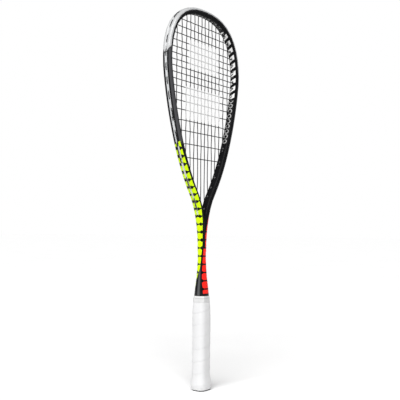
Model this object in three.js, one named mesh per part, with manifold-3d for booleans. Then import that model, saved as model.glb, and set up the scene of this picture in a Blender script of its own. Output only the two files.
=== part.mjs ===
// A strung squash racket: a hollow moulded frame, a head bumper and two side grommet strips,
// a woven string bed of one main and one cross string, and a capped, stapled and wrapped handle.
// Millimetres. +Z runs up the racket from the butt, X lies in the string plane, Y is its normal.
// The origin is the centre of the butt cap's flat end.
import * as THREE from 'three';
import { mergeVertices } from 'three/addons/utils/BufferGeometryUtils.js';
import Module from 'manifold-3d';

// ---- Driving dimensions -------------------------------------------------------------------

const GAP = 0.3; // clearance left between pieces that touch

// Centre line of the frame tube: a superelliptic crown, a side and a throat that runs into the shaft.
const HEAD = { halfWidth: 101.7, widestZ: 573.3, crownZ: 679, exponent: 2.47 };
const SIDE = { shoulder: 10, lean: 0.604, endX: 24.1, endZ: 348.1, reach: 110.3 };
const THROAT = { reach: 44.8, endX: 0.8, endZ: 245, run: 8 };

// Section of the frame tube: half sizes in the string plane and across it.
const TUBE = { half: 6, depth: 8.6, neckDepth: 7.4, neckZ: 330, exponent: 2.4, sides: 13 };
const HOLLOW = { centre: -1.3, half: 2.7, depth: 6.2, sides: 6, wall: 1.8 };
const GROOVE = { floor: 3.3, half: 3.2, neckHalf: 2.3, taperZ: 460, endZ: 312 };

const BUMPER = { endZ: 586.9, recess: 1.3, proud: 0.3, tipAngle: 80, baseThickness: 0.8, slant: 58 };
const STRIP = { thickness: 0.8, startGap: 1.2 };
const HOLE = { radius: 2.5, sides: 4 }; // through the frame, clear of a barrel
const BARREL = { radius: 1.5, bore: 1.1, stand: 0.8, pitch: 5.4, sides: 6 };

// Strings: 14 mains spread from the centre, 18 crosses counted down from the crown.
const STRING = { radius: 0.6, sides: 4 };
const MAINS = { count: 14, pitch: 10.4, spread: 0.132 };
const CROSS_TOP = 654.6;
const CROSS_PITCHES = [
  13.5, 13.5, 13, 12, 11.5, 11, 11, 11, 11.5, 11.5, 12, 13, 15, 18.2, 18.3, 22.5, 24,
];
const KNOT_RADIUS = 0.95;
const LANE = { across: 1.6, ramp: 3 }; // a loop that passes other holes keeps to one side of them

// Shaft, handle and grip: [z, half width, half depth], from the top down.
const SHAFT = [
  [296, 10.6, 7.8], [270, 8, 7.5], [245, 7, 7], [232, 7, 7], [215, 7.9, 7.9],
  [200, 9.2, 8.8], [189, 10.7, 10], [179, 12.1, 11.1], [167.7, 13.3, 12.1],
];
const TANG = { top: 167.6, bottom: 10, half: 10.5, depth: 8.4 }; // shaft inside the handle
const PLUG = { top: 34, inset: 1 };
const CORE = { top: 167.3, bottom: 3.5, half: 13.2, depth: 11.6, neckHalf: 11.6, neckDepth: 10.4 };
const CORE_BEVEL = 0.42; // share of the half depth that the octagon's bevels take
const CAP = [
  [22, 14.1, 12.5], [11, 15.7, 13.8], [6, 15.4, 13.5], [0, 14, 12.2],
];
const CAP_FLOOR = 3.2;
const STAPLE = { z: 15, offCentre: 4.4, crown: 6, wire: 1, thickness: 0.6, leg: 3 };
const GRIP = [
  [155.6, 14.2, 12.6], [142, 15.1, 13.5], [128, 15.4, 13.8], [75, 15, 13.4],
  [40, 14.9, 13.3], [27, 14.9, 13.3], [22, 15.5, 13.9], [11, 17.8, 15.8],
  [5, 17, 15], [2, 15.3, 13.5],
];
const TAPE = [[163.1, 13.3, 11.9], [155.9, 13.9, 12.5]];
const COLLAR = [[167.1, 12.6, 11.4], [163.4, 13, 11.7]];

const HOOP_STATIONS = 64; // rings along the whole hairpin
const HOLLOW_STATIONS = 40;

// ---- Solids -------------------------------------------------------------------------------

const wasm = await Module();
wasm.setup();

function solidOf(geometry) {
  const bare = geometry.index ? geometry.toNonIndexed() : geometry.clone();
  bare.deleteAttribute('normal');
  bare.deleteAttribute('uv');
  const merged = mergeVertices(bare, 1e-4);
  return new wasm.Manifold(
    new wasm.Mesh({
      numProp: 3,
      vertProperties: new Float32Array(merged.attributes.position.array),
      triVerts: new Uint32Array(merged.index.array),
    }),
  );
}

function geometryOf(solid) {
  const mesh = solid.getMesh();
  const position = new Float32Array(mesh.numVert * 3);
  for (let i = 0; i < mesh.numVert; i++) {
    const start = i * mesh.numProp;
    position.set(mesh.vertProperties.subarray(start, start + 3), i * 3);
  }
  const geometry = new THREE.BufferGeometry();
  geometry.setAttribute('position', new THREE.BufferAttribute(position, 3));
  geometry.setIndex(new THREE.BufferAttribute(new Uint32Array(mesh.triVerts), 1));
  geometry.computeVertexNormals();
  return geometry;
}

// A closed body through a row of rings that all have the same number of points. The outline is
// one ring drawn flat, which says how the two end caps are filled.
function loft(rings, outline) {
  const sides = outline.length;
  const index = [];
  for (let i = 0; i + 1 < rings.length; i++)
    for (let j = 0; j < sides; j++) {
      const a = i * sides + j;
      const b = i * sides + ((j + 1) % sides);
      index.push(a, b, b + sides, a, b + sides, a + sides);
    }
  const last = (rings.length - 1) * sides;
  const clockwise = THREE.ShapeUtils.isClockWise(outline);
  for (const face of THREE.ShapeUtils.triangulateShape(outline, [])) {
    const [a, b, c] = clockwise ? face.reverse() : face;
    index.push(c, b, a);
    index.push(last + a, last + b, last + c);
  }
  const points = rings.flat();
  const volume = signedVolume(points, index);
  if (volume < 0) index.reverse();
  const geometry = new THREE.BufferGeometry().setFromPoints(points);
  geometry.setIndex(index);
  return solidOf(geometry);
}

function signedVolume(points, index) {
  let sum = 0;
  const cross = new THREE.Vector3();
  for (let i = 0; i < index.length; i += 3) {
    cross.crossVectors(points[index[i + 1]], points[index[i + 2]]);
    sum += points[index[i]].dot(cross);
  }
  return sum / 6;
}

function rod(from, to, radius, sides = BARREL.sides) {
  const along = new THREE.Vector3().subVectors(to, from);
  const geometry = new THREE.CylinderGeometry(radius, radius, along.length(), sides);
  const up = new THREE.Vector3(0, 1, 0);
  geometry.applyQuaternion(
    new THREE.Quaternion().setFromUnitVectors(up, along.clone().normalize()),
  );
  const middle = new THREE.Vector3().addVectors(from, to).multiplyScalar(0.5);
  geometry.translate(middle.x, middle.y, middle.z);
  return solidOf(geometry);
}

function box(width, depth, height, x, y, z) {
  return solidOf(new THREE.BoxGeometry(width, depth, height).translate(x, y, z));
}

// One coordinate of a superellipse: the cosine or sine raised to 2/exponent, sign kept.
function bulge(value, exponent) {
  return Math.sign(value) * Math.abs(value) ** (2 / exponent);
}

const degrees = THREE.MathUtils.degToRad;
const mix = THREE.MathUtils.lerp;

// ---- Centre line of the frame -------------------------------------------------------------

class Crown extends THREE.Curve {
  getPoint(t, target = new THREE.Vector2()) {
    const angle = (Math.PI / 2) * (1 - t);
    const rise = HEAD.crownZ - HEAD.widestZ;
    return target.set(
      HEAD.halfWidth * bulge(Math.cos(angle), HEAD.exponent),
      HEAD.widestZ + rise * bulge(Math.sin(angle), HEAD.exponent),
    );
  }
}

// The right half, from the crown down to the bottom of its leg, in (x, z).
function halfCentreLine() {
  const { halfWidth, widestZ } = HEAD;
  const lean = new THREE.Vector2(Math.sin(SIDE.lean), Math.cos(SIDE.lean));
  const joint = new THREE.Vector2(SIDE.endX, SIDE.endZ);
  const line = new THREE.CurvePath();
  line.add(new Crown());
  line.add(
    new THREE.CubicBezierCurve(
      new THREE.Vector2(halfWidth, widestZ),
      new THREE.Vector2(halfWidth, widestZ - SIDE.shoulder),
      joint.clone().addScaledVector(lean, SIDE.reach),
      joint,
    ),
  );
  line.add(
    new THREE.CubicBezierCurve(
      joint,
      joint.clone().addScaledVector(lean, -THROAT.reach),
      new THREE.Vector2(THROAT.endX, THROAT.endZ + THROAT.run),
      new THREE.Vector2(THROAT.endX, THROAT.endZ),
    ),
  );
  return line;
}

const half = halfCentreLine();
const HALF_LENGTH = half.getLength();

// A place on the hairpin: s is 0 at the crown, 1 at the foot of the right leg and -1 at the left.
function place(s) {
  const point = half.getPointAt(Math.abs(s));
  const tangent = half.getTangentAt(Math.abs(s));
  const side = s < 0 ? -1 : 1;
  return {
    s: Math.abs(s),
    at: new THREE.Vector3(side * point.x, 0, point.y),
    out: new THREE.Vector3(side * -tangent.y, 0, tangent.x),
  };
}

// The point of the section n out from the centre line and y across the string plane.
function offset(where, n, y = 0) {
  const point = where.at.clone().addScaledVector(where.out, n);
  point.y += y;
  return point;
}

// The place where test(place), which changes steadily from lo to hi, goes through zero.
function solve(test, lo, hi) {
  const rising = test(place(hi)) > 0;
  for (let i = 0; i < 40; i++) {
    const middle = (lo + hi) / 2;
    if (test(place(middle)) > 0 === rising) hi = middle;
    else lo = middle;
  }
  return (lo + hi) / 2;
}

const atHeight = (z) => solve((p) => z - p.at.z, 0, 1);
const S_WIDEST = atHeight(HEAD.widestZ);
const S_BUMPER = atHeight(BUMPER.endZ);
const S_GROOVE = atHeight(GROOVE.endZ);
const alongHalf = (mm) => mm / HALF_LENGTH;

// ---- Sections of the frame ----------------------------------------------------------------

// Half depth of the tube, which thins from the throat into the shaft.
function tubeDepth(where) {
  const t = THREE.MathUtils.smoothstep(where.at.z, THROAT.endZ, TUBE.neckZ);
  return mix(TUBE.neckDepth, TUBE.depth, t);
}

function grooveHalf(where) {
  const t = THREE.MathUtils.smoothstep(where.at.z, GROOVE.endZ, GROOVE.taperZ);
  return mix(GROOVE.neckHalf, GROOVE.half, t);
}

// How far out a superellipse reaches at y.
function reach(size, depth, y) {
  return size * (1 - (Math.abs(y) / depth) ** TUBE.exponent) ** (1 / TUBE.exponent);
}

// [n, y] pairs of the tube's section, starting and ending in the string groove. The outer half is
// sunk by the seat where the bumper sits.
function tubeOutline(where, seat = BUMPER.recess) {
  const depth = tubeDepth(where);
  const groove = grooveHalf(where);
  const sunk = where.s <= S_BUMPER ? seat : 0;
  const grooved = where.s <= S_GROOVE;
  const lip = reach(TUBE.half - sunk, depth - sunk, groove);
  const floor = grooved ? GROOVE.floor : lip + 0.2;
  const first = 36;
  const outline = [[floor, groove], [lip, groove]];
  for (let i = 0; i < TUBE.sides; i++) {
    const angle = bodyAngle(i, first);
    const inset = Math.abs(Math.abs(angle) - 180) > 180 - BUMPER.tipAngle - 1 ? sunk : 0;
    outline.push([
      (TUBE.half - inset) * bulge(Math.cos(degrees(angle)), TUBE.exponent),
      (depth - inset) * bulge(Math.sin(degrees(angle)), TUBE.exponent),
    ]);
  }
  outline.push([lip, -groove], [floor, -groove]);
  return outline;
}

// Angles round the tube from one lip of the groove to the other, with one at each bumper tip.
function bodyAngle(i, first) {
  const last = TUBE.sides - 1;
  const mirrored = i > last / 2;
  const step = mirrored ? last - i : i;
  const angle = [first, 57, BUMPER.tipAngle, 94, 118, 148, 180][step];
  return mirrored ? -angle : angle;
}

function flat(outline) {
  return outline.map(([n, y]) => new THREE.Vector2(n, y));
}

function sweep(stations, outlineAt) {
  const rings = stations.map((s) => {
    const where = place(s);
    return outlineAt(where).map(([n, y]) => offset(where, n, y));
  });
  return loft(rings, flat(outlineAt(place(stations[0]))));
}

// The whole hairpin as two legs, since they run into each other below. At the crown the left leg
// tapers a little and ends inside the right one.
function sweepLegs(outlineAt, edges, count) {
  const lap = alongHalf(4);
  const tapered = (where) => {
    const scale = where.at.x > 0 ? 0.97 : 1;
    return outlineAt(where).map(([n, y]) => [n * scale, y * scale]);
  };
  const right = sweep(stationsBetween(0, 1, edges, count), outlineAt);
  const left = sweep([...stationsBetween(-1, -lap, edges, count), lap], tapered);
  return right.add(left);
}

// Even stations between two places, with the two ends themselves.
function stationsBetween(from, to, extra = [], count = HOOP_STATIONS) {
  const all = [from, to, ...extra];
  for (let i = -count / 2; i <= count / 2; i++) {
    const s = (2 * i) / count;
    if (all.every((other) => Math.abs(other - s) > alongHalf(2))) all.push(s);
  }
  return all.filter((s) => s >= from && s <= to).sort((a, b) => a - b);
}

// Rings close together where the bumper seat and the groove end.
function edgeStations() {
  const edges = [S_BUMPER, S_BUMPER + alongHalf(0.6), S_GROOVE, S_GROOVE + alongHalf(1.5)];
  return edges.flatMap((s) => [s, -s]);
}

// ---- String holes -------------------------------------------------------------------------

function mainX(index) {
  const k = index - (MAINS.count - 1) / 2;
  const edge = (MAINS.count - 1) / 2;
  return MAINS.pitch * k * (1 + MAINS.spread * (k / edge) ** 2);
}

function crossHeights() {
  const heights = [CROSS_TOP];
  for (const pitch of CROSS_PITCHES) heights.push(heights.at(-1) - pitch);
  return heights;
}

const CROSSES = crossHeights();
const innerX = (where) => offset(where, -TUBE.half).x;
const innerZ = (where) => offset(where, -TUBE.half).z;

// Holes down the right side in order, each pushed on until it clears the one before it.
function drillSide() {
  const holes = [];
  for (let k = MAINS.count / 2; k < MAINS.count; k++) {
    const x = mainX(k);
    holes.push({ kind: 'main', end: 'top', id: k, s: solve((p) => innerX(p) - x, 0, S_WIDEST) });
    holes.push({ kind: 'main', end: 'foot', id: k, s: solve((p) => x - innerX(p), S_WIDEST, 1) });
  }
  CROSSES.forEach((z, id) => {
    holes.push({ kind: 'cross', end: 'side', id, s: solve((p) => z - innerZ(p), 0, 1) });
  });
  holes.sort((a, b) => a.s - b.s);
  const pitch = alongHalf(BARREL.pitch);
  for (let pass = 0; pass < 20; pass++)
    for (let i = 1; i < holes.length; i++) {
      const short = pitch - (holes[i].s - holes[i - 1].s);
      if (short > 0) {
        holes[i - 1].s -= short / 2;
        holes[i].s += short / 2;
      }
    }
  return holes;
}

const HOLES = drillSide();

// The hole of one string end; side is -1 for the left and 1 for the right.
function holeOf(kind, end, id, side) {
  const hole = HOLES.find((h) => h.kind === kind && h.end === end && h.id === id);
  return side * hole.s;
}

// ---- Frame --------------------------------------------------------------------------------

function ovalRing(z, width, depth, exponent, sides) {
  const ring = [];
  for (let i = 0; i < sides; i++) {
    const angle = ((i + 0.5) / sides) * Math.PI * 2;
    ring.push(
      new THREE.Vector3(
        width * bulge(Math.cos(angle), exponent),
        depth * bulge(Math.sin(angle), exponent),
        z,
      ),
    );
  }
  return ring;
}

// A loft of superelliptic rings given as [z, half width, half depth].
function ovalLoft(rows, exponent, sides, grow = 0) {
  const rings = rows.map(([z, w, d]) => ovalRing(z, w + grow, d + grow, exponent, sides));
  return loft(rings, rings[0].map((p) => new THREE.Vector2(p.x, p.y)));
}

function frameBody() {
  const hoop = sweepLegs(tubeOutline, edgeStations(), HOOP_STATIONS);
  const tang = [[TANG.top, TANG.half, TANG.depth], [TANG.bottom, TANG.half, TANG.depth]];
  const shaft = ovalLoft([...SHAFT, ...tang], TUBE.exponent, 20);
  return hoop.add(shaft);
}

function frameHollow() {
  const outline = ({ at }) => {
    const ring = [];
    const depth = (HOLLOW.depth * tubeDepth({ at })) / TUBE.depth;
    for (let i = 0; i < HOLLOW.sides; i++) {
      const angle = ((i + 0.5) / HOLLOW.sides) * Math.PI * 2;
      ring.push([HOLLOW.centre + HOLLOW.half * Math.cos(angle), depth * Math.sin(angle)]);
    }
    return ring;
  };
  const bore = sweepLegs(outline, [], HOLLOW_STATIONS);
  const rows = SHAFT.slice(1).concat([
    [TANG.top - 2, TANG.half, TANG.depth],
    [TANG.bottom - 5, TANG.half, TANG.depth],
  ]);
  return bore.add(ovalLoft(rows, 2, HOLLOW.sides, -HOLLOW.wall));
}

function stringHoles() {
  const holes = HOLES.flatMap(({ s }) => [s, -s]).map((s) => {
    const where = place(s);
    const ends = [offset(where, -TUBE.half - 2), offset(where, TUBE.half + 2)];
    return rod(...ends, HOLE.radius, HOLE.sides);
  });
  return wasm.Manifold.union(holes);
}

// A block below a plane that slants up from the groove to one face of the tube, at one foot of
// the bumper: it cuts the bumper's wing short, and fills the seat in the frame that this frees.
function footWedge(side, face, gap, inset = 0) {
  const where = place(side * (S_BUMPER - alongHalf(0.4)));
  const down = place(side * (S_BUMPER + alongHalf(5))).at.sub(where.at).normalize();
  const across = new THREE.Vector3(0, face, 0);
  const tilt = degrees(BUMPER.slant);
  const slope = across.clone().multiplyScalar(Math.cos(tilt));
  slope.addScaledVector(down, -Math.sin(tilt));
  const below = across.clone().multiplyScalar(Math.sin(tilt));
  below.addScaledVector(down, Math.cos(tilt));
  const out = new THREE.Vector3().crossVectors(slope, below);
  const [long, deep] = [24, 16];
  const geometry = new THREE.BoxGeometry(long, long, deep);
  const outward = Math.sign(out.dot(where.out));
  geometry.translate(outward * (long / 2 - 0.5), long / 2, deep / 2 + gap);
  geometry.applyMatrix4(new THREE.Matrix4().makeBasis(out, slope, below));
  const edge = offset(where, 0, face * (grooveHalf(where) - GAP - 0.5 + inset));
  geometry.translate(edge.x, edge.y, edge.z);
  return solidOf(geometry);
}

const FEET = [[1, 1], [1, -1], [-1, 1], [-1, -1]];

function seatFill() {
  const steps = [14, 7, 2, -1.5].map((mm) => S_BUMPER - alongHalf(mm));
  const full = (where) => tubeOutline(where, 0).map(([n, y]) => [n * 0.98, y * 0.98]);
  const fills = FEET.map(([side, face]) => {
    const stations = side > 0 ? steps : steps.map((s) => -s).reverse();
    return sweep(stations, full).intersect(footWedge(side, face, GAP, 1.2));
  });
  return wasm.Manifold.union(fills);
}

function makeFrame() {
  const body = frameBody().add(seatFill());
  return body.subtract(frameHollow()).subtract(stringHoles());
}

// ---- Bumper and grommet strips ------------------------------------------------------------

// Barrels that carry the strings through the frame, standing proud of its inner wall.
function barrels(signedPlaces, floor, radius) {
  return wasm.Manifold.union(
    signedPlaces.map((s) => {
      const where = place(s);
      return rod(offset(where, -TUBE.half - BARREL.stand), offset(where, floor), radius);
    }),
  );
}

function withBarrels(band, signedPlaces, floor) {
  const tubes = barrels(signedPlaces, floor + STRIP.thickness / 2, BARREL.radius);
  const bores = wasm.Manifold.union(
    signedPlaces.map((s) => {
      const where = place(s);
      return rod(offset(where, -TUBE.half - 3), offset(where, TUBE.half + 3), BARREL.bore);
    }),
  );
  return band.add(tubes).subtract(bores);
}

const BAND_FLOOR = GROOVE.floor + GAP;

function makeStrip(side) {
  const start = S_BUMPER + alongHalf(STRIP.startGap);
  const end = S_GROOVE - alongHalf(1);
  const range = side > 0 ? [start, end] : [-end, -start];
  const band = sweep(stationsBetween(...range), (where) => {
    const wide = grooveHalf(where) - GAP;
    const top = BAND_FLOOR + STRIP.thickness;
    return [[BAND_FLOOR, -wide], [top, -wide], [top, wide], [BAND_FLOOR, wide]];
  });
  const places = HOLES.filter(({ s }) => s > S_BUMPER).map(({ s }) => side * s);
  return withBarrels(band, places, BAND_FLOOR);
}

// The bumper's section: a channel like the strips', with a wing round each shoulder of the tube.
function bumperOutline(where) {
  const wide = grooveHalf(where) - GAP;
  const inner = { size: TUBE.half - BUMPER.recess + GAP, depth: TUBE.depth - BUMPER.recess + GAP };
  const outer = { size: TUBE.half + BUMPER.proud, depth: TUBE.depth + BUMPER.proud };
  const wing = (skin, angle) => [
    skin.size * bulge(Math.cos(degrees(angle)), TUBE.exponent),
    skin.depth * bulge(Math.sin(degrees(angle)), TUBE.exponent),
  ];
  const channel = BAND_FLOOR + BUMPER.baseThickness;
  const wall = wide - 0.5;
  const upper = [
    [BAND_FLOOR, wide],
    [reach(inner.size, inner.depth, wide), wide],
    wing(inner, 36),
    wing(inner, 57),
    wing(inner, BUMPER.tipAngle - 2),
    wing(outer, BUMPER.tipAngle - 2),
    wing(outer, 57),
    wing(outer, 36),
    [reach(outer.size, outer.depth, wall), wall],
    [channel, wall],
  ];
  const lower = upper.map(([n, y]) => [n, -y]).reverse();
  return [...upper, ...lower];
}

function makeBumper() {
  const end = S_BUMPER - alongHalf(0.4);
  const band = sweep(stationsBetween(-end, end), bumperOutline);
  const places = HOLES.filter(({ s }) => s < S_BUMPER).flatMap(({ s }) => [s, -s]);
  const wedges = wasm.Manifold.union(FEET.map(([side, face]) => footWedge(side, face, 0)));
  return withBarrels(band.subtract(wedges), places, BAND_FLOOR);
}

// ---- Strings ------------------------------------------------------------------------------

// A path through given points that is walked point by point, not by length.
class PointPath extends THREE.Curve {
  constructor(points) {
    super();
    this.points = points;
  }
  getUtoTmapping(u) {
    return u;
  }
  getPoint(t, target = new THREE.Vector3()) {
    const last = this.points.length - 1;
    const i = Math.min(Math.floor(t * last + 1e-9), last - 1);
    return target.lerpVectors(this.points[i], this.points[i + 1], t * last - i);
  }
}

function wire(points) {
  const section = [];
  for (let i = 0; i < STRING.sides; i++) {
    const angle = (i / STRING.sides) * Math.PI * 2;
    section.push(new THREE.Vector2(Math.cos(angle), Math.sin(angle)).multiplyScalar(STRING.radius));
  }
  const geometry = new THREE.ExtrudeGeometry(new THREE.Shape(section), {
    steps: points.length - 1,
    extrudePath: new PointPath(points),
    bevelEnabled: false,
  });
  return solidOf(geometry);
}

const STRING_BED = BAND_FLOOR + STRIP.thickness + GAP + STRING.radius; // loops lie this far out
const INNER_EXIT = -TUBE.half - BARREL.stand - 0.9;

const into = (s) => [offset(place(s), STRING_BED), offset(place(s), INNER_EXIT)];
const outOf = (s) => into(s).reverse();

// The loop outside the frame from one hole to the next, in the middle of the groove or, where it
// passes a hole, in the lane on one side of it.
function loopBetween(from, to, side) {
  const passes = HOLES.some(({ s }) => (s - Math.abs(from)) * (Math.abs(to) - s) > 1e-9);
  const lane = passes ? side : 0;
  const ramp = Math.sign(to - from) * alongHalf(LANE.ramp);
  const start = from + ramp;
  const end = to - ramp;
  const steps = Math.max(1, Math.round(Math.abs(end - start) / alongHalf(8)));
  const points = [];
  for (let i = 0; i <= steps; i++) {
    const where = place(mix(start, end, i / steps));
    points.push(offset(where, STRING_BED, lane * LANE.across));
  }
  return points;
}

// Where main k and cross j meet, with the main on one face of the cross or the other.
const WEAVE = STRING.radius + GAP / 2;

function crossing(k, j, forMain) {
  const side = (k + j) % 2 ? 1 : -1;
  return new THREE.Vector3(mainX(k), (forMain ? side : -side) * WEAVE, CROSSES[j]);
}

// A main meets a cross where both still run inside the barrels' mouths.
const CLEAR_OF_MOUTH = 1.2;

function meets(k, j) {
  const top = offset(place(mainHole(k, 'top')), INNER_EXIT).z;
  const foot = offset(place(mainHole(k, 'foot')), INNER_EXIT).z;
  const side = offset(place(holeOf('cross', 'side', j, 1)), INNER_EXIT).x;
  const z = CROSSES[j];
  const alongMain = z < top - CLEAR_OF_MOUTH && z > foot + CLEAR_OF_MOUTH;
  return alongMain && Math.abs(mainX(k)) < side - CLEAR_OF_MOUTH;
}

function mainHole(k, end) {
  const last = MAINS.count - 1;
  const right = k > last / 2;
  return holeOf('main', end, right ? k : last - k, right ? 1 : -1);
}

function mainStringPoints() {
  const points = [];
  for (let k = 0; k < MAINS.count; k++) {
    const upward = k % 2 === 0;
    const [start, finish] = upward ? ['foot', 'top'] : ['top', 'foot'];
    const entry = mainHole(k, start);
    const exit = mainHole(k, finish);
    const row = CROSSES.map((_, j) => j).filter((j) => meets(k, j));
    if (upward) row.reverse();
    points.push(...into(entry), ...row.map((j) => crossing(k, j, true)), ...outOf(exit));
    if (k + 1 < MAINS.count) points.push(...loopBetween(exit, mainHole(k + 1, finish), 1));
  }
  return points;
}

function crossStringPoints() {
  const points = [];
  for (let j = 0; j < CROSSES.length; j++) {
    const side = j % 2 === 0 ? -1 : 1;
    const entry = holeOf('cross', 'side', j, side);
    const exit = -entry;
    const row = [...Array(MAINS.count).keys()].filter((k) => meets(k, j));
    if (side > 0) row.reverse();
    points.push(...into(entry), ...row.map((k) => crossing(k, j, false)), ...outOf(exit));
    if (j + 1 < CROSSES.length)
      points.push(...loopBetween(exit, holeOf('cross', 'side', j + 1, -side), -1));
  }
  return points;
}

// A string with a tie-off knot at each end, on the outside of the frame.
function makeString(points) {
  const knots = [points[0], points.at(-1)].map((end) =>
    solidOf(new THREE.IcosahedronGeometry(KNOT_RADIUS, 0).translate(end.x, end.y, end.z)),
  );
  return wire(points).add(knots[0]).add(knots[1]);
}

// ---- Handle -------------------------------------------------------------------------------

function octagonRing(z, width, depth) {
  const bevel = depth * CORE_BEVEL;
  const corners = [
    [width, depth - bevel], [width - bevel, depth],
    [bevel - width, depth], [-width, depth - bevel],
    [-width, bevel - depth], [bevel - width, -depth],
    [width - bevel, -depth], [width, bevel - depth],
  ];
  return corners.map(([x, y]) => new THREE.Vector3(x, y, z));
}

function octagonLoft(rows, grow = 0) {
  const rings = rows.map(([z, w, d]) => octagonRing(z, w + grow, d + grow));
  return loft(rings, rings[0].map((p) => new THREE.Vector2(p.x, p.y)));
}

const CORE_ROWS = [
  [CORE.top, CORE.neckHalf, CORE.neckDepth],
  [CORE.top - 22, CORE.half, CORE.depth],
  [CORE.bottom, CORE.half, CORE.depth],
];

// Both legs and the crown of a staple. Face is -1 for the front and 1 for the rear; hand is -1
// for the left and 1 for the right.
function stapleSolid(face, hand, grow = 0) {
  const skin = capDepth(STAPLE.z);
  const out = skin - STAPLE.thickness / 2 - 0.15;
  const wide = STAPLE.wire + 2 * grow;
  const thick = STAPLE.thickness + 2 * grow;
  const middle = hand * STAPLE.offCentre;
  const crown = box(STAPLE.crown + 2 * grow, thick, wide, middle, face * out, STAPLE.z);
  const legLength = STAPLE.leg + grow;
  const legs = [-1, 1].map((side) => {
    const x = middle + side * (STAPLE.crown - STAPLE.wire) * 0.5;
    return box(wide, legLength, wide, x, face * (out - legLength / 2), STAPLE.z);
  });
  return crown.add(legs[0]).add(legs[1]);
}

// Half depth of the cap's outer skin at z.
function capDepth(z) {
  const row = CAP.findIndex(([top]) => top < z);
  const [z0, , d0] = CAP[row - 1];
  const [z1, , d1] = CAP[row];
  return mix(d0, d1, (z0 - z) / (z0 - z1));
}

const STAPLES = [
  { name: 'front_left', face: -1, hand: -1 },
  { name: 'front_right', face: -1, hand: 1 },
  { name: 'rear_left', face: 1, hand: -1 },
  { name: 'rear_right', face: 1, hand: 1 },
];

function staplePockets() {
  return wasm.Manifold.union(STAPLES.map(({ face, hand }) => stapleSolid(face, hand, GAP)));
}

function makeCore() {
  const tang = [[CORE.top + 2, TANG.half, TANG.depth], [CORE.bottom - 2, TANG.half, TANG.depth]];
  const seat = ovalLoft(tang, TUBE.exponent, 20, GAP);
  return octagonLoft(CORE_ROWS).subtract(seat).subtract(staplePockets());
}

function makeCap() {
  const pocket = octagonLoft(
    [[CAP[0][0] + 2, CORE.half, CORE.depth], [CAP_FLOOR, CORE.half, CORE.depth]],
    GAP,
  );
  return octagonLoft(CAP).subtract(pocket).subtract(staplePockets());
}

// Foam that closes the open lower end of the hollow shaft.
function makePlug() {
  const row = [TANG.half - HOLLOW.wall, TANG.depth - HOLLOW.wall];
  const rows = [[PLUG.top, ...row], [TANG.bottom + PLUG.inset, ...row]];
  return ovalLoft(rows, 2, HOLLOW.sides, -GAP);
}

// A sleeve over the core and the cap, cut to the outside given as octagon rows.
function makeSleeve(rows) {
  const above = [rows[0][0] + 5, CORE.neckHalf, CORE.neckDepth];
  const core = octagonLoft([above, ...CORE_ROWS], GAP);
  const cap = octagonLoft([[CAP[0][0] + GAP, CAP[0][1], CAP[0][2]], ...CAP], GAP);
  return octagonLoft(rows).subtract(core).subtract(cap);
}

// ---- Assembly -----------------------------------------------------------------------------

const FINISHES = {
  black: { color: 0x17181a, roughness: 0.3, metalness: 0 },
  silver: { color: 0xc9cacc, roughness: 0.35, metalness: 0.1 },
  white: { color: 0xf1f1f0, roughness: 0.8, metalness: 0 },
  string: { color: 0x2b2b2c, roughness: 0.35, metalness: 0 },
  foam: { color: 0xb8a987, roughness: 0.9, metalness: 0 },
  cap: { color: 0x2c2c2e, roughness: 0.6, metalness: 0 },
  steel: { color: 0xb5b7ba, roughness: 0.3, metalness: 1 },
};

const racket = new THREE.Group();

function addNode(name, finish, solid) {
  const mesh = new THREE.Mesh(geometryOf(solid), new THREE.MeshStandardMaterial(FINISHES[finish]));
  mesh.name = name;
  racket.add(mesh);
}

addNode('frame', 'black', makeFrame());
addNode('bumper_guard', 'silver', makeBumper());
addNode('grommet_strip_left', 'silver', makeStrip(-1));
addNode('grommet_strip_right', 'silver', makeStrip(1));
addNode('main_string', 'string', makeString(mainStringPoints()));
addNode('cross_string', 'string', makeString(crossStringPoints()));
addNode('handle_core', 'foam', makeCore());
addNode('butt_cap', 'cap', makeCap());
addNode('shaft_end_plug', 'foam', makePlug());
for (const { name, face, hand } of STAPLES)
  addNode(`cap_staple_${name}`, 'steel', stapleSolid(face, hand));
addNode('grip_wrap', 'white', makeSleeve(GRIP));
addNode('grip_finishing_tape', 'white', makeSleeve(TAPE));
addNode('handle_collar', 'white', makeSleeve(COLLAR));

export default racket;
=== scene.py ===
"""A strung squash racket with a wound white grip, on a pale studio floor."""

import math

import bmesh
import bpy
from mathutils import Matrix, Vector


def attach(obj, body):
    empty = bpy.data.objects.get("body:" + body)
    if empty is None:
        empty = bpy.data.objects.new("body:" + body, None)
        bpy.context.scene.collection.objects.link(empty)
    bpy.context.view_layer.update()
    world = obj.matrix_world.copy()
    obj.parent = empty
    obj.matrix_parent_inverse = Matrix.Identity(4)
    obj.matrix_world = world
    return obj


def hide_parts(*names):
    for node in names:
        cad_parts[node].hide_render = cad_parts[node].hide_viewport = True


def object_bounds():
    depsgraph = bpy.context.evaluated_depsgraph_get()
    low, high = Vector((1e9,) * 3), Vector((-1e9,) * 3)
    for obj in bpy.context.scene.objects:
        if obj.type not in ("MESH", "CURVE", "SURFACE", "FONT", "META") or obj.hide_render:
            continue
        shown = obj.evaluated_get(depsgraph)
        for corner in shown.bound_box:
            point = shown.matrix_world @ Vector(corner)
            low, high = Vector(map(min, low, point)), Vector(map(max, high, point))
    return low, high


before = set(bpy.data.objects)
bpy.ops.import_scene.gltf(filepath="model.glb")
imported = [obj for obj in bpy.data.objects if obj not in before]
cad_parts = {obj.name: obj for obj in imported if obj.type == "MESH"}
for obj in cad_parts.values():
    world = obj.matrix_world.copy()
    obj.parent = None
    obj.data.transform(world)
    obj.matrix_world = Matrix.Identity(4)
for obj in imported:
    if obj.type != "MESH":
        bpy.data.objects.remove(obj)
cad_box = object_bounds()

MM = 0.001
WELD_M = 1e-6  # corners closer than this are one corner
MIX_BELOW, MIX_ABOVE, MIX_RESULT = 6, 7, 2  # the colour sockets of a Mix node

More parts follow.
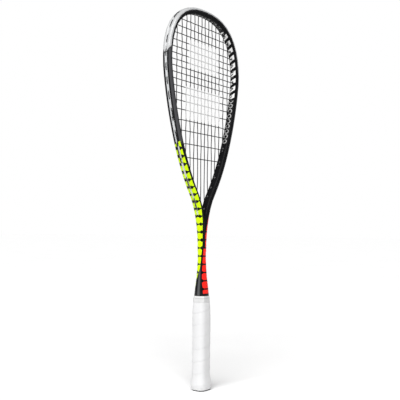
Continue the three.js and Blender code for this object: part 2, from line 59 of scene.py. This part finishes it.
# Centre line of the frame tube, as part.mjs has it, in millimetres.
HEAD = {"half_width": 101.7, "widest_z": 573.3, "crown_z": 679, "exponent": 2.47}
SIDE = {"shoulder": 10, "lean": 0.604, "end": (24.1, 348.1), "reach": 110.3}
THROAT = {"reach": 44.8, "end": (0.8, 245), "run": 8}
SHAFT_FOOT = 165

# Camera: where it stands, in millimetres, where it looks, in degrees, and its lens.
CAMERA = {"place": (-975.4, -731.4, 283.8), "yaw": 52.94, "pitch": 2.59, "roll": 0.44}
LENS_MM = 60.75
SENSOR_MM = 36

# Lights: the direction or the place they come from, in metres, and how wide and strong they are.
SKY = {"toward": (-0.78, -0.34, 1.0), "spread_deg": 45, "strength": 3.35}
KEY = {"place": (-1.5, -1.1, 0.9), "aim": (0, 0, 0.35), "size": 0.9, "power": 2.5}
AMBIENT = 0.26  # light from all round; the backdrop itself shows white
FLOOR_HALF = 30  # half the floor's width, in metres
FLOOR_GAP = 0.0003  # metres between the floor and the butt, so that the two faces don't coincide

# Colours, in linear light.
YELLOW = (0.63, 0.9, 0.0)
RED = (0.95, 0.022, 0.014)
BLACK = (0.003, 0.003, 0.0035)
CHARCOAL = (0.06, 0.06, 0.064)
CARBON = (0.005, 0.005, 0.006)
# The grey of a painted highlight up the shaft's foot.
FOOT_HIGHLIGHT_GREY = (0.085, 0.086, 0.088)
WHITE = (0.85, 0.85, 0.84)
BUMPER_GREY = (0.5, 0.505, 0.51)
SCRATCH_GREY = (0.4, 0.4, 0.41)
GROMMET_GREY = (0.62, 0.63, 0.64)
BARREL_GREY = (0.16, 0.16, 0.165)
STRING_DARK, STRING_LIGHT = (0.006, 0.006, 0.007), (0.014, 0.014, 0.015)
STENCIL_GREY = (0.6, 0.6, 0.6)
STEEL = (0.62, 0.62, 0.64)
GRIP_WHITE = (0.68, 0.68, 0.685)
COLLAR_WHITE = (0.68, 0.68, 0.68)
TAPE_WHITE = (0.62, 0.62, 0.62)
CAP_BLACK = (0.045, 0.045, 0.048)
PALLET_FOAM, PLUG_FOAM = (0.5, 0.43, 0.3), (0.3, 0.3, 0.3)


# ---- Shader graphs --------------------------------------------------------------------------


class Graph:
    """The node tree of one material, with short calls for the nodes used here."""

    def __init__(self, name):
        self.material = bpy.data.materials.new(name)
        self.material.use_nodes = True
        self.tree = self.material.node_tree
        self.shader = self.tree.nodes["Principled BSDF"]

    def feed(self, socket, value):
        if isinstance(value, bpy.types.NodeSocket):
            self.tree.links.new(value, socket)
        elif isinstance(value, tuple) and len(value) == 3 and socket.type == "RGBA":
            socket.default_value = (*value, 1)
        else:
            socket.default_value = value

    def add(self, kind, inputs=(), **settings):
        node = self.tree.nodes.new("ShaderNode" + kind)
        for key, value in settings.items():
            setattr(node, key, value)
        for key, value in dict(inputs).items():
            self.feed(node.inputs[key], value)
        return node

    def math(self, operation, *values, clamp=False):
        node = self.add("Math", enumerate(values), operation=operation, use_clamp=clamp)
        return node.outputs[0]

    def position(self):
        """Where the point is, in millimetres, as three sockets."""
        place = self.add("TexCoord").outputs["Object"]
        scaled = self.add("VectorMath", {0: place, "Scale": 1000.0}, operation="SCALE")
        return self.add("SeparateXYZ", {0: scaled.outputs[0]}).outputs[:]

    def step(self, value, edge, blur=0.3):
        """0 below the edge and 1 above it, over a short blur."""
        node = self.add("MapRange", {"Value": value}, interpolation_type="SMOOTHSTEP")
        self.feed(node.inputs["From Min"], self.shifted(edge, -blur))
        self.feed(node.inputs["From Max"], self.shifted(edge, blur))
        return node.outputs[0]

    def shifted(self, value, by):
        if isinstance(value, bpy.types.NodeSocket):
            return self.math("ADD", value, by)
        return value + by

    def between(self, value, low, high, blur=0.3):
        return self.both(self.step(value, low, blur), self.outside(self.step(value, high, blur)))

    def both(self, *masks):
        product = masks[0]
        for mask in masks[1:]:
            product = self.math("MULTIPLY", product, mask)
        return product

    def either(self, *masks):
        largest = masks[0]
        for mask in masks[1:]:
            largest = self.math("MAXIMUM", largest, mask)
        return largest

    def outside(self, mask):
        return self.math("SUBTRACT", 1.0, mask)

    def mix(self, mask, below, above, blend="MIX"):
        inputs = {"Factor": mask, MIX_BELOW: below, MIX_ABOVE: above}
        node = self.add("Mix", inputs, data_type="RGBA", blend_type=blend)
        return node.outputs[MIX_RESULT]

    def toned(self, colour, tone):
        """The colour made lighter or darker by the tone."""
        return self.mix(1.0, colour, tone, blend="MULTIPLY")

    def curve(self, value, points):
        """A smooth curve through (in, out) points, both scaled to 0..1 inside."""
        xs, ys = [p[0] for p in points], [p[1] for p in points]
        low_x, high_x, low_y = min(xs), max(xs), min(ys)
        span_x, span_y = high_x - low_x, max(ys) - low_y
        node = self.add("FloatCurve")
        curve = node.mapping.curves[0]
        scaled = [((x - low_x) / span_x, (y - low_y) / span_y) for x, y in points]
        curve.points[0].location = scaled[0]
        curve.points[1].location = scaled[-1]
        for place in scaled[1:-1]:
            curve.points.new(*place)
        node.mapping.update()
        inside = self.add("MapRange", {"Value": value, "From Min": low_x, "From Max": high_x})
        self.feed(node.inputs["Value"], inside.outputs[0])
        return self.math("MULTIPLY_ADD", node.outputs[0], float(span_y), float(low_y))

    def noise(self, scale, detail=2.0, stretch=(1, 1, 1)):
        place = self.add("TexCoord").outputs["Object"]
        mapped = self.add("Mapping", {"Vector": place, "Scale": stretch})
        inputs = {"Vector": mapped.outputs[0], "Scale": scale, "Detail": detail}
        return self.add("TexNoise", inputs).outputs[0]

    def bump(self, height, strength, distance_mm):
        inputs = {"Height": height, "Strength": strength, "Distance": distance_mm * MM}
        self.feed(self.shader.inputs["Normal"], self.add("Bump", inputs).outputs[0])

    def ranged(self, value, low, high):
        """The middle of a 0..1 noise spread over low..high."""
        inputs = {"Value": value, "From Min": 0.3, "From Max": 0.7, "To Min": low, "To Max": high}
        return self.add("MapRange", inputs).outputs[0]

    def dull(self, level):
        """Sets how strongly the surface mirrors its surroundings; 0.5 is usual."""
        self.shader.inputs["Specular IOR Level"].default_value = level

    def finish(self, **sockets):
        """The material, once its shader has these inputs."""
        for key, value in sockets.items():
            self.feed(self.shader.inputs[key.replace("_", " ")], value)
        return self.material


# ---- Centre line ----------------------------------------------------------------------------


def bezier(p0, p1, p2, p3, t):
    a, b, c, d = (1 - t) ** 3, 3 * t * (1 - t) ** 2, 3 * t * t * (1 - t), t**3
    return tuple(a * u + b * v + c * w + d * x for u, v, w, x in zip(p0, p1, p2, p3))


def centre_line(steps=80):
    """(x, z) points of the right half of the tube, from the shaft's foot up to the crown."""
    wide, low = HEAD["half_width"], HEAD["widest_z"]
    rise = HEAD["crown_z"] - low
    power = 2 / HEAD["exponent"]
    lean = (math.sin(SIDE["lean"]), math.cos(SIDE["lean"]))
    joint = SIDE["end"]
    upper = tuple(j + SIDE["reach"] * n for j, n in zip(joint, lean))
    lower = tuple(j - THROAT["reach"] * n for j, n in zip(joint, lean))
    foot = THROAT["end"]
    points = [(foot[0], SHAFT_FOOT)]
    for i in range(steps + 1):
        points.append(bezier(foot, (foot[0], foot[1] + THROAT["run"]), lower, joint, i / steps))
    for i in range(1, steps + 1):
        points.append(bezier(joint, upper, (wide, low - SIDE["shoulder"]), (wide, low), i / steps))
    for i in range(1, steps + 1):
        angle = math.pi / 2 * i / steps
        x = wide * max(math.cos(angle), 0) ** power
        points.append((x, low + rise * math.sin(angle) ** power))
    return points


def tube_tables(count=26):
    """How far out the centre line is, its lean, and the length along it, each by height."""
    line = centre_line()
    length, rows = 0.0, []
    for (x0, z0), (x1, z1) in zip(line, line[1:]):
        step = math.hypot(x1 - x0, z1 - z0)
        rows.append((z0, x0, math.atan2(x1 - x0, z1 - z0), length))
        length += step
    rows.append((line[-1][1], line[-1][0], -math.pi / 2, length))
    top = rows[-1][0]
    out, lean, along = [], [], []
    for i in range(count + 1):
        z = SHAFT_FOOT + (top - SHAFT_FOOT) * (1 - (1 - i / count) ** 1.6)
        row = min(rows, key=lambda r: abs(r[0] - z))
        out.append((row[0], row[1]))
        lean.append((row[0], row[2]))
        along.append((row[0], row[3]))
    return [sorted(set(table)) for table in (out, lean, along)]


OUT_BY_HEIGHT, LEAN_BY_HEIGHT, LENGTH_BY_HEIGHT = tube_tables()


def tube_coordinates(g):
    """(outward, across, along, turn, side, z): where a point is in the section of its own leg.

    Outward runs away from the head's middle, across runs to the front on the left leg and to
    the rear on the right one, and turn is the angle between them in degrees, 0 on the outside.
    """
    x, y, z = g.position()
    side = g.math("SIGN", g.math("ADD", x, 0.001))
    beyond = g.math("SUBTRACT", g.math("ABSOLUTE", x), g.curve(z, OUT_BY_HEIGHT))
    lean = g.curve(z, LEAN_BY_HEIGHT)
    outward = g.math("MULTIPLY", beyond, g.math("COSINE", lean))
    lift = g.math("MULTIPLY", outward, g.math("SINE", lean))
    along = g.curve(g.math("ADD", z, lift), LENGTH_BY_HEIGHT)
    across = g.math("MULTIPLY", side, y)
    turn = g.math("DEGREES", g.math("ARCTAN2", across, outward))
    return outward, across, along, turn, side, z


# ---- Frame lacquer --------------------------------------------------------------------------

# Edges of the coloured band round the tube, in degrees of turn, by height. Sizes are in millimetres.
BAND_LOW = [(165, -128), (178, -130), (197, -137), (219, -132), (241, -119), (262, -112),
            (275, -103), (284, -94), (300, -85), (310, -76), (322, -62), (450, -62)]
BAND_HIGH = [(165, -50), (178, -45), (197, -30), (208, -10), (219, 14), (241, 33), (262, 48),
             (284, 55), (302, 68), (330, 78), (390, 74), (430, 60), (450, 56)]
BAND_FOOT, BAND_TOP = 171.5, 434.8
BAND_TOP_SLANT = 0.45
WRAP_ROUND_BELOW = 252.0  # down here each colour also runs on to the other half of the shaft
COLOUR_MARGIN = 15.0  # degrees past a band's edge where the colours meet under the black
BLOCK = 14.6  # length of one block of colour along the tube
GAP_HALF, GAP_SWELL = 1.25, 2.4
SWELL_AT, SWELL_REACH = 40.0, 24.0  # degrees of turn where the gap is widest, and how far that runs


def block_gaps(g, along, turn):
    """1 on the black gaps between the blocks, which swell into a diamond on each face."""
    off_widest = g.math("ABSOLUTE", g.math("SUBTRACT", g.math("ABSOLUTE", turn), SWELL_AT))
    swell = g.math("SUBTRACT", 1.0, g.math("DIVIDE", off_widest, SWELL_REACH), clamp=True)
    half_gap = g.math("MULTIPLY_ADD", swell, GAP_SWELL, GAP_HALF)
    phase = g.math("FRACT", g.math("DIVIDE", along, BLOCK))
    off_middle = g.math("ABSOLUTE", g.math("SUBTRACT", phase, 0.5))
    to_gap = g.math("MULTIPLY", g.math("SUBTRACT", 0.5, off_middle), BLOCK)
    return g.outside(g.step(to_gap, half_gap, 0.15))


def coloured_band(g, across, along, turn, side, z):
    """The colour and mask of the yellow band on the left and the red one on the right."""
    low, high = g.curve(z, BAND_LOW), g.curve(z, BAND_HIGH)
    own = g.between(turn, low, high, 1.2)
    past = g.step(turn, g.math("ADD", low, 180.0), 1.5)
    before = g.outside(g.step(turn, g.math("SUBTRACT", high, 180.0), 1.5))
    other = g.both(g.either(past, before), g.outside(g.step(z, WRAP_ROUND_BELOW, 2.0)))
    is_right = g.step(side, 0.0, 0.1)
    past_high = g.step(turn, g.math("ADD", high, COLOUR_MARGIN), 0.1)
    past_low = g.step(turn, g.math("SUBTRACT", low, COLOUR_MARGIN), 0.1)
    red = g.either(g.both(is_right, past_low), g.both(past_high, g.outside(is_right)))
    top = g.math("MULTIPLY_ADD", across, BAND_TOP_SLANT, BAND_TOP)
    region = g.both(g.either(own, other), g.between(z, BAND_FOOT, top, 0.4))
    mask = g.both(region, g.outside(block_gaps(g, along, turn)))
    return g.mix(red, YELLOW, RED), mask


# Marks on the inner wall: where each kind runs, by height, and its pitch along the tube.
INNER_WALL = -2.6  # how far out of the centre line the inner wall's marks start
BARS, BAR_PITCH, BAR_SLANT, BAR_HALF_WIDTH = (538.0, 660.0), 15.5, 0.55, 5.6
RINGS, RING_PITCH, RING_RADII = (449.0, 534.0), 10.6, (3.0, 4.6)
SPECKLE, SPECKLE_HALF_WIDTH = (662.0, 674.0), 4.0


def inner_marks(g, outward, across, along, z):
    """Pale marks on the inner wall: bold slanted bars above, a chain of small rings below."""
    wall = g.outside(g.step(outward, INNER_WALL, 0.4))
    slanted = g.math("MULTIPLY_ADD", across, BAR_SLANT, along)
    in_bar = g.math("FRACT", g.math("DIVIDE", slanted, BAR_PITCH))
    bars = g.between(in_bar, 0.2, 0.76, 0.02)
    slot = g.both(g.between(in_bar, 0.42, 0.56, 0.02), g.between(across, -1.0, 4.5, 0.3))
    bold = g.both(bars, g.outside(slot), g.between(across, -BAR_HALF_WIDTH, BAR_HALF_WIDTH, 0.3),
                  g.between(z, *BARS, 0.5))
    in_ring = g.math("SUBTRACT", g.math("FRACT", g.math("DIVIDE", along, RING_PITCH)), 0.5)
    reach = g.math("MULTIPLY", in_ring, RING_PITCH)
    squared = g.math("ADD", g.math("POWER", reach, 2.0), g.math("POWER", across, 2.0))
    rings = g.both(g.between(g.math("SQRT", squared), *RING_RADII, 0.25), g.between(z, *RINGS, 0.5))
    speck = g.step(g.noise(900.0, 1.0), 0.6, 0.05)
    speckle = g.both(speck, g.between(z, *SPECKLE, 2.0),
                     g.between(across, -SPECKLE_HALF_WIDTH, SPECKLE_HALF_WIDTH, 0.5))
    faint = g.math("MULTIPLY", g.either(rings, g.math("MULTIPLY", speckle, 0.5)), 0.55)
    return g.both(wall, g.either(bold, faint))


FACES = (52.0, 92.0)  # degrees of turn, either way, of the paler front and rear faces of the head
HIGHLIGHT_TURNS, HIGHLIGHT_TOP = (-2.0, 22.0), 225.0  # painted highlight, a pale line up the shaft's foot: degrees of turn, height


def frame_lacquer():
    """Black lacquer over carbon weave, with the coloured bands, the inner wall's marks and a painted
    highlight up the shaft's foot.
    """
    g = Graph("frame_lacquer")
    outward, across, along, turn, side, z = tube_coordinates(g)
    weave = g.add("TexWave", {"Scale": 260.0, "Distortion": 1.5, "Detail": 1.0})
    face = g.between(g.math("ABSOLUTE", turn), *FACES, 3.0)
    upper = g.both(face, g.step(z, BAND_TOP, 4.0))
    colour = g.mix(upper, g.mix(weave.outputs[1], BLACK, CARBON), CHARCOAL)
    # A painted highlight: a pale stripe up one face of the shaft's foot, fading out higher up.
    painted_highlight = g.both(g.outside(g.step(z, HIGHLIGHT_TOP, 30.0)), g.between(turn, *HIGHLIGHT_TURNS, 9.0))
    colour = g.mix(painted_highlight, colour, FOOT_HIGHLIGHT_GREY)
    paint, mask = coloured_band(g, across, along, turn, side, z)
    paint = g.toned(paint, g.ranged(g.noise(60.0, 3.0), 0.94, 1.04))
    colour = g.mix(mask, colour, paint)
    colour = g.mix(inner_marks(g, outward, across, along, z), colour, WHITE)
    g.bump(g.noise(1400.0, 2.0), 0.12, 0.05)
    satin = g.outside(g.step(outward, -2.0, 1.0))
    gloss = g.ranged(g.noise(220.0, 4.0), 0.2, 0.3)
    rough = g.math("MULTIPLY_ADD", satin, 0.65, gloss)
    g.dull(0.1)
    return g.finish(Base_Color=colour, Roughness=rough, Coat_Weight=0.05, Coat_Roughness=0.08)


# ---- Other materials ------------------------------------------------------------------------


def moulded(name, colour, rough, grain, bump_mm, variation=0.06):
    """A moulded plastic with a slight tone variation, a fine grain and uneven gloss."""
    g = Graph(name)
    tone = g.ranged(g.noise(45.0, 4.0), 1 - variation, 1 + variation / 2)
    g.bump(g.noise(grain, 3.0), 0.35, bump_mm)
    roughness = g.ranged(g.noise(150.0, 3.0), rough * 0.85, rough * 1.2)
    return g.finish(Base_Color=g.toned(colour, tone), Roughness=roughness)


def bumper_plastic():
    """Pale nylon, scuffed a little along the very top of the head."""
    g = Graph("bumper_nylon")
    _, y, z = g.position()
    base = g.toned(BUMPER_GREY, g.ranged(g.noise(40.0, 4.0), 0.93, 1.03))
    scratches = g.step(g.noise(420.0, 3.0, (0.12, 1.0, 0.6)), 0.66, 0.03)
    on_top = g.both(g.step(z, 676.0, 6.0), g.outside(g.step(g.math("ABSOLUTE", y), 6.5, 1.0)))
    scuffed = g.math("MULTIPLY", g.both(scratches, on_top), 0.25)
    colour = g.mix(scuffed, base, SCRATCH_GREY)
    g.bump(g.noise(900.0, 3.0), 0.12, 0.03)
    rough = g.ranged(g.noise(120.0, 3.0), 0.3, 0.42)
    return g.finish(Base_Color=colour, Roughness=rough, Coat_Weight=0.25, Coat_Roughness=0.2)


def grommet_plastic():
    """Pale nylon, whose barrels show dark where they come out inside the head."""
    g = Graph("grommet_nylon")
    outward = tube_coordinates(g)[0]
    base = g.toned(GROMMET_GREY, g.ranged(g.noise(45.0, 3.0), 0.97, 1.02))
    colour = g.mix(g.step(outward, -4.0, 0.5), BARREL_GREY, base)
    g.bump(g.noise(800.0, 3.0), 0.2, 0.03)
    return g.finish(Base_Color=colour, Roughness=g.ranged(g.noise(150.0, 3.0), 0.3, 0.42))


# Plain panels stencilled on the strings: (lowest, highest, half width) of each.
PANELS = [(572.0, 623.0, 44.0), (480.0, 538.0, 52.0)]


def string_polymer(name):
    """Dark twisted multifilament with two plain pale panels stencilled on the string bed."""
    g = Graph(name)
    x, _, z = g.position()
    away = g.math("ABSOLUTE", x)
    stencil = g.either(*(g.both(g.between(z, low, high, 1.0), g.outside(g.step(away, half, 1.0)))
                         for low, high, half in PANELS))
    paint = g.math("MULTIPLY", stencil, g.ranged(g.noise(500.0, 2.0), 0.8, 0.97))
    fibre = g.add("TexWave", {"Scale": 900.0, "Distortion": 2.0, "Detail": 2.0}).outputs[1]
    colour = g.mix(paint, g.mix(fibre, STRING_DARK, STRING_LIGHT), STENCIL_GREY)
    g.bump(fibre, 0.3, 0.04)
    g.dull(0.2)
    return g.finish(Base_Color=colour, Roughness=g.ranged(g.noise(300.0, 2.0), 0.34, 0.48))


def steel_wire():
    """Drawn steel wire, with fine lines along it."""
    g = Graph("staple_steel")
    lines = g.noise(700.0, 3.0, (0.1, 1.0, 1.0))
    g.bump(lines, 0.2, 0.02)
    return g.finish(Base_Color=STEEL, Metallic=1.0, Roughness=g.ranged(lines, 0.22, 0.38))


def foam(name, colour):
    """Hard foam with small cells."""
    g = Graph(name)
    cells = g.add("TexVoronoi", {"Scale": 700.0}).outputs["Distance"]
    tone = g.mix(cells, colour, tuple(0.8 * c for c in colour))
    g.bump(cells, 0.4, 0.15)
    return g.finish(Base_Color=tone, Roughness=g.ranged(g.noise(90.0, 2.0), 0.8, 0.95))


def grip_leather():
    """Soft white polyurethane: a pebbled, faintly creased skin with a light sheen."""
    g = Graph("grip_polyurethane")
    pebbles = g.add("TexVoronoi", {"Scale": 1500.0}).outputs["Distance"]
    creases = g.noise(120.0, 4.0, (1.0, 1.0, 2.5))
    base = g.toned(GRIP_WHITE, g.ranged(g.noise(35.0, 3.0), 0.965, 1.01))
    g.bump(g.math("MULTIPLY_ADD", pebbles, 0.35, creases), 0.35, 0.25)
    rough = g.ranged(g.noise(260.0, 3.0), 0.5, 0.66)
    return g.finish(Base_Color=base, Roughness=rough, Sheen_Weight=0.15)


def paint_node(node, material):
    """Puts a material on every slot of a CAD node."""
    for place in bpy.data.objects[node].material_slots:
        place.material = material


def welded(node):
    """The CAD node, with its loose triangles joined by a modifier."""
    piece = bpy.data.objects[node]
    piece.modifiers.new("join", "WELD").merge_threshold = WELD_M
    return piece


def soften(node):
    """Averages the node's normals, without moving a vertex."""
    normals = welded(node).modifiers.new("normals", "WEIGHTED_NORMAL")
    normals.weight = 80
    normals.keep_sharp = False


def round_off(node, grow_mm=0.36):
    """Turns a four-sided strand into a round one, and grows it to the width that shows."""
    piece = welded(node)
    rounder = piece.modifiers.new("round", "SUBSURF")
    rounder.levels = rounder.render_levels = 1
    thicker = piece.modifiers.new("thicken", "DISPLACE")
    thicker.strength = grow_mm * MM
    thicker.mid_level = 0
    piece.data.shade_smooth()


# ---- Grip -----------------------------------------------------------------------------------

# Half width and half depth of the grip's outside at each height, in millimetres, from the top.
GRIP_ROWS = [(155.7, 14.1, 12.5), (151, 14.5, 12.9), (142, 15.0, 13.35), (128, 15.45, 13.8),
             (75, 15.05, 13.4), (40, 14.95, 13.3), (27, 15.0, 13.35), (22, 15.5, 13.9),
             (16, 16.8, 15.0), (11, 17.75, 15.75), (7, 17.6, 15.6), (4, 16.6, 14.8),
             (2.0, 15.3, 13.6)]
BEVEL = 0.42  # how much of the half depth the octagon's slanted sides take off
HANDLE_FULLNESS = 1.025  # makes up for what the rounding of the octagon's corners takes off
END_SLOPE = 0.004  # keeps the strip's edges apart where its ends are trimmed level
# The wound strip, in millimetres; lip is how far its lower edge stands out.
WRAP = {"pitch": 21.5, "width": 26.0, "thick": 1.3, "lip": 0.24, "turn_steps": 84}


def grip_half_sizes(z):
    """Half width and half depth of the grip's outside at z, both in millimetres."""
    z = min(max(z, GRIP_ROWS[-1][0]), GRIP_ROWS[0][0])
    for (z1, w1, d1), (z0, w0, d0) in zip(GRIP_ROWS, GRIP_ROWS[1:]):
        if z >= z0:
            break
    t = (z - z0) / (z1 - z0)
    return w0 + (w1 - w0) * t, d0 + (d1 - d0) * t


def octagon_reach(angle, half_width, half_depth, hardness=8.5):
    """Distance from the axis to a round-cornered octagon in the direction of the angle."""
    x, y = math.cos(angle), math.sin(angle)
    bevel = (half_width + half_depth * (1 - BEVEL)) / math.sqrt(2)
    planes = [(x, half_width), (y, half_depth)]
    planes += [((x + y) / math.sqrt(2), bevel), ((x - y) / math.sqrt(2), bevel)]
    total = sum(abs(part / size) ** hardness for part, size in planes)
    return HANDLE_FULLNESS * total ** (-1 / hardness)


def strip_section():
    """(height, rise) points round the strip: its upper edge is skived thin, its lower laps over."""
    half, lip = WRAP["width"] / 2, WRAP["lip"]
    top = [(-half, lip * 0.25), (-half + 0.25, lip * 0.8), (-half + 0.9, lip),
           (-half + 3.0, lip * 0.85), (-half * 0.45, lip * 0.25), (0, 0.02), (half * 0.45, -0.02),
           (half - 3.0, -0.15), (half - 0.6, -0.45)]
    under = -WRAP["thick"]
    bottom = [(half - 0.6, under), (0, under), (-half + 2.0, -0.5), (-half, -0.25)]
    return top + bottom


def unevenness(angle, z):
    """How far the strip stands out, in millimetres, for having been wound by hand."""
    return 0.1 * math.sin(3.1 * angle + 0.9) + 0.07 * math.sin(0.37 * angle + z / 9)


def build_grip():
    """One long strip wound up the handle in a helix, each turn lapping the one below it."""
    low, high = GRIP_ROWS[-1][0], GRIP_ROWS[0][0]
    half = WRAP["width"] / 2
    turns = (high - low + WRAP["width"]) / WRAP["pitch"]
    steps = int(turns * WRAP["turn_steps"])
    section = strip_section()
    mesh = bmesh.new()
    rings = []
    for i in range(steps + 1):
        turn = i / WRAP["turn_steps"]
        angle = 2 * math.pi * turn
        middle = low - half + turn * WRAP["pitch"]
        ring = []
        for height, rise in section:
            z = min(max(middle + height, low), high) + END_SLOPE * height
            wide, deep = grip_half_sizes(z)
            reach = octagon_reach(angle, wide, deep) + rise + unevenness(angle, z)
            place = Vector((reach * math.cos(angle), reach * math.sin(angle), z)) * MM
            ring.append(mesh.verts.new(place))
        rings.append(ring)
    count = len(section)
    for one, two in zip(rings, rings[1:]):
        for j in range(count):
            k = (j + 1) % count
            mesh.faces.new((one[j], two[j], two[k], one[k]))
    mesh.faces.new(rings[0])
    mesh.faces.new(list(reversed(rings[-1])))
    bmesh.ops.recalc_face_normals(mesh, faces=mesh.faces)
    return piece_from(mesh, "grip_winding", grip_leather(), smooth_deg=40)


def piece_from(mesh, name, material, smooth_deg=None):
    """A new object from a bmesh, smooth across edges shallower than smooth_deg."""
    data = bpy.data.meshes.new(name)
    mesh.to_mesh(data)
    mesh.free()
    data.materials.append(material)
    piece = bpy.data.objects.new(name, data)
    bpy.context.scene.collection.objects.link(piece)
    if smooth_deg is not None:
        data.shade_smooth()
        data.set_sharp_from_angle(angle=math.radians(smooth_deg))
    return piece


# ---- Studio ---------------------------------------------------------------------------------


def camera_axes():
    """The camera's right, up and forward directions."""
    yaw, pitch, roll = (math.radians(CAMERA[key]) for key in ("yaw", "pitch", "roll"))
    flat = math.cos(pitch)
    ahead = Vector((math.sin(yaw) * flat, math.cos(yaw) * flat, math.sin(pitch)))
    level = Vector((math.cos(yaw), -math.sin(yaw), 0))
    above = level.cross(ahead)
    right = level * math.cos(roll) + above * math.sin(roll)
    up = above * math.cos(roll) - level * math.sin(roll)
    return right, up, ahead


def build_camera():
    data = bpy.data.cameras.new("camera")
    data.lens = LENS_MM
    data.sensor_width = SENSOR_MM
    camera = bpy.data.objects.new("camera", data)
    right, up, ahead = camera_axes()
    turn = Matrix((right, up, -ahead)).transposed().to_4x4()
    camera.matrix_world = Matrix.Translation(Vector(CAMERA["place"]) * MM) @ turn
    bpy.context.scene.collection.objects.link(camera)
    bpy.context.scene.camera = camera


def build_floor():
    """A wide pale floor."""
    mesh = bmesh.new()
    bmesh.ops.create_grid(mesh, x_segments=1, y_segments=1, size=FLOOR_HALF)
    g = Graph("floor_paper")
    tone = g.ranged(g.noise(3.0, 2.0), 0.97, 0.99)
    g.bump(g.noise(400.0, 2.0), 0.05, 0.2)
    floor = piece_from(mesh, "floor", g.finish(Base_Color=tone, Roughness=0.9))
    floor.location.z = cad_box[0][2] - FLOOR_GAP


def lamp(name, kind, energy, toward):
    """A light whose own +Z points back along the way its light comes from."""
    light = bpy.data.objects.new(name, bpy.data.lights.new(name, kind))
    light.data.energy = energy
    light.rotation_euler = Vector(toward).to_track_quat("Z", "Y").to_euler()
    bpy.context.scene.collection.objects.link(light)
    return light


def build_lights():
    """A broad sun from above, a soft key lamp beside the camera, and light from all round."""
    sky = lamp("sky_panel", "SUN", SKY["strength"], SKY["toward"])
    sky.data.angle = math.radians(SKY["spread_deg"])
    key = lamp("key", "AREA", KEY["power"], Vector(KEY["place"]) - Vector(KEY["aim"]))
    key.location = KEY["place"]
    key.data.shape = "DISK"
    key.data.size = KEY["size"]
    world = bpy.data.worlds.new("studio")
    world.use_nodes = True
    nodes, links = world.node_tree.nodes, world.node_tree.links
    path = nodes.new("ShaderNodeLightPath")
    level = nodes.new("ShaderNodeMapRange")
    level.inputs["To Min"].default_value = AMBIENT
    level.inputs["To Max"].default_value = 1.0
    links.new(path.outputs["Is Camera Ray"], level.inputs["Value"])
    links.new(level.outputs[0], nodes["Background"].inputs["Strength"])
    nodes["Background"].inputs["Color"].default_value = (1, 1, 1, 1)
    bpy.context.scene.world = world
    bpy.context.scene.view_settings.view_transform = "Standard"


# ---- Assembly -------------------------------------------------------------------------------

build_camera()
build_floor()
build_lights()

paint_node("frame", frame_lacquer())
paint_node("bumper_guard", bumper_plastic())
strip_nylon = grommet_plastic()
for side in ("left", "right"):
    paint_node("grommet_strip_" + side, strip_nylon)
for kind in ("main", "cross"):
    paint_node(kind + "_string", string_polymer(kind + "_string_polymer"))
paint_node("handle_core", foam("pallet_foam", PALLET_FOAM))
paint_node("shaft_end_plug", foam("plug_foam", PLUG_FOAM))
paint_node("butt_cap", moulded("cap_plastic", CAP_BLACK, 0.5, 1200.0, 0.12))
staple_metal = steel_wire()
for corner in ("front_left", "front_right", "rear_left", "rear_right"):
    paint_node("cap_staple_" + corner, staple_metal)
paint_node("handle_collar", moulded("collar_rubber", COLLAR_WHITE, 0.45, 700.0, 0.06, 0.03))
paint_node("grip_finishing_tape", moulded("finishing_tape", TAPE_WHITE, 0.4, 600.0, 0.06, 0.04))
for node in ("frame", "bumper_guard"):
    soften(node)
for node in ("main_string", "cross_string"):
    round_off(node)

grip = build_grip()
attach(grip, "root")
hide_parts("grip_wrap")
